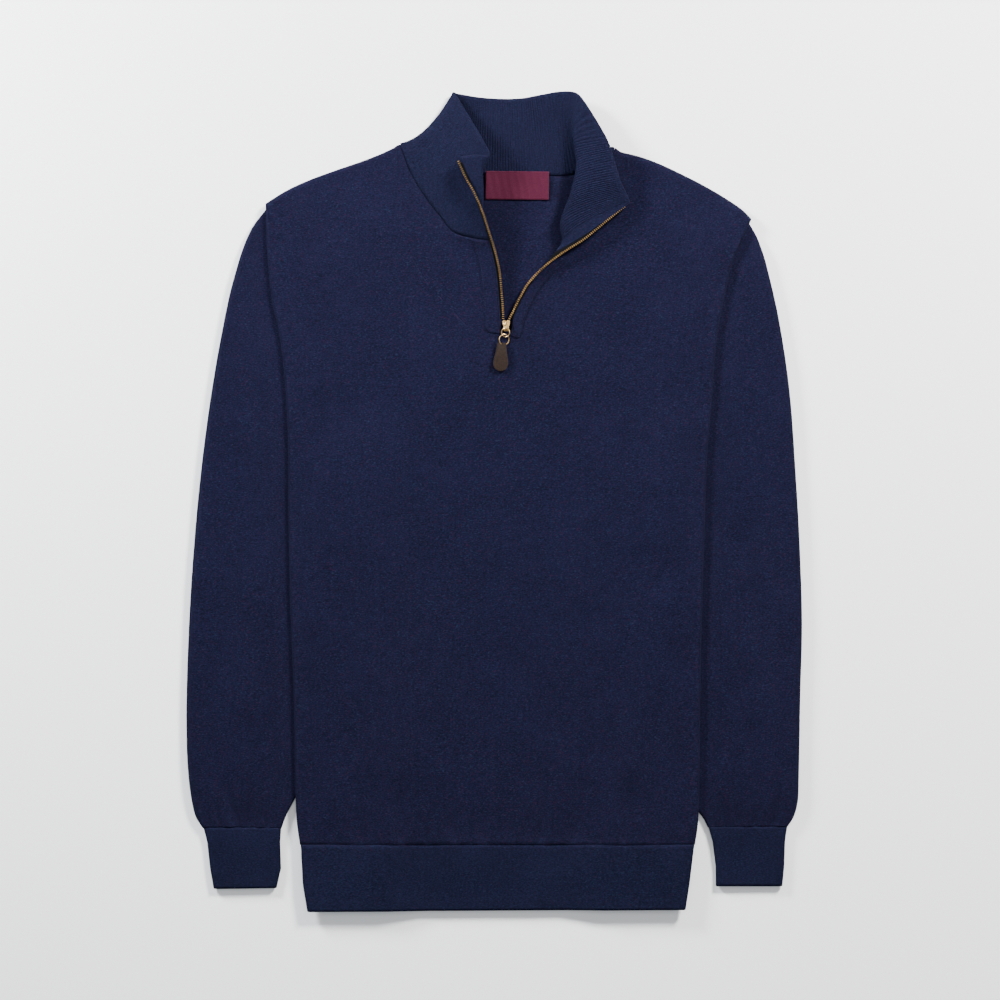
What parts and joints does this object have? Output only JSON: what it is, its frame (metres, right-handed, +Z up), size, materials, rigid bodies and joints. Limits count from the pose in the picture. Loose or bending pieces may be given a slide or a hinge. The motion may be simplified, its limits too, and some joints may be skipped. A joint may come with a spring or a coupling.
{
  "type": "quarter zip sweater",
  "caption": "Fine-knit pullover laid flat with a ribbed stand collar, an open quarter zip, ribbed cuffs and hem, and a leather zip pull.",
  "frame": {"origin": "middle of the garment's footprint, on the surface it lies on", "axes": "+Z up out of the front, +Y towards the collar, +X to the right as seen from above"},
  "size_m": [0.567, 0.7542, 0.0254],
  "materials": {
    "knit_navy": "fine heathered jersey",
    "rib_navy": "fine vertical rib",
    "zip_tape": "woven tape",
    "zip_metal": "polished brass",
    "pull_leather": "smooth matte leather",
    "label_cloth": "satin weave"
  },
  "bodies": {
    "garment": {"front_panel": "knit_navy", "back_panel": "knit_navy", "sleeve_left": "knit_navy", "sleeve_right": "knit_navy", "cuff_left": "rib_navy", "cuff_right": "rib_navy", "hem_rib": "rib_navy", "collar": "rib_navy", "placket_left": "knit_navy", "placket_right": "knit_navy", "zip_tape_left": "zip_tape", "zip_tape_right": "zip_tape", "turned_side_left": "knit_navy", "turned_side_right": "knit_navy", "neck_label": "label_cloth", "zip_slider": "zip_metal"},
    "pull_link": {"pull_link": "zip_metal"},
    "pull_tab": {"pull_ring": "zip_metal", "pull_tab": "pull_leather"}
  },
  "joints": [
    {"name": "link_hinge", "type": "hinge", "parent": "garment", "child": "pull_link", "pos_m": [0.011, 0.1594, 0.00975], "axis": [-1, 0, 0], "range_deg": [0, 90]},
    {"name": "tab_hinge", "type": "hinge", "parent": "pull_link", "child": "pull_tab", "pos_m": [0.00968, 0.15199, 0.00862], "axis": [-0.8988, 0.2779, -0.3389], "range_deg": [0, 65]}
  ]
}
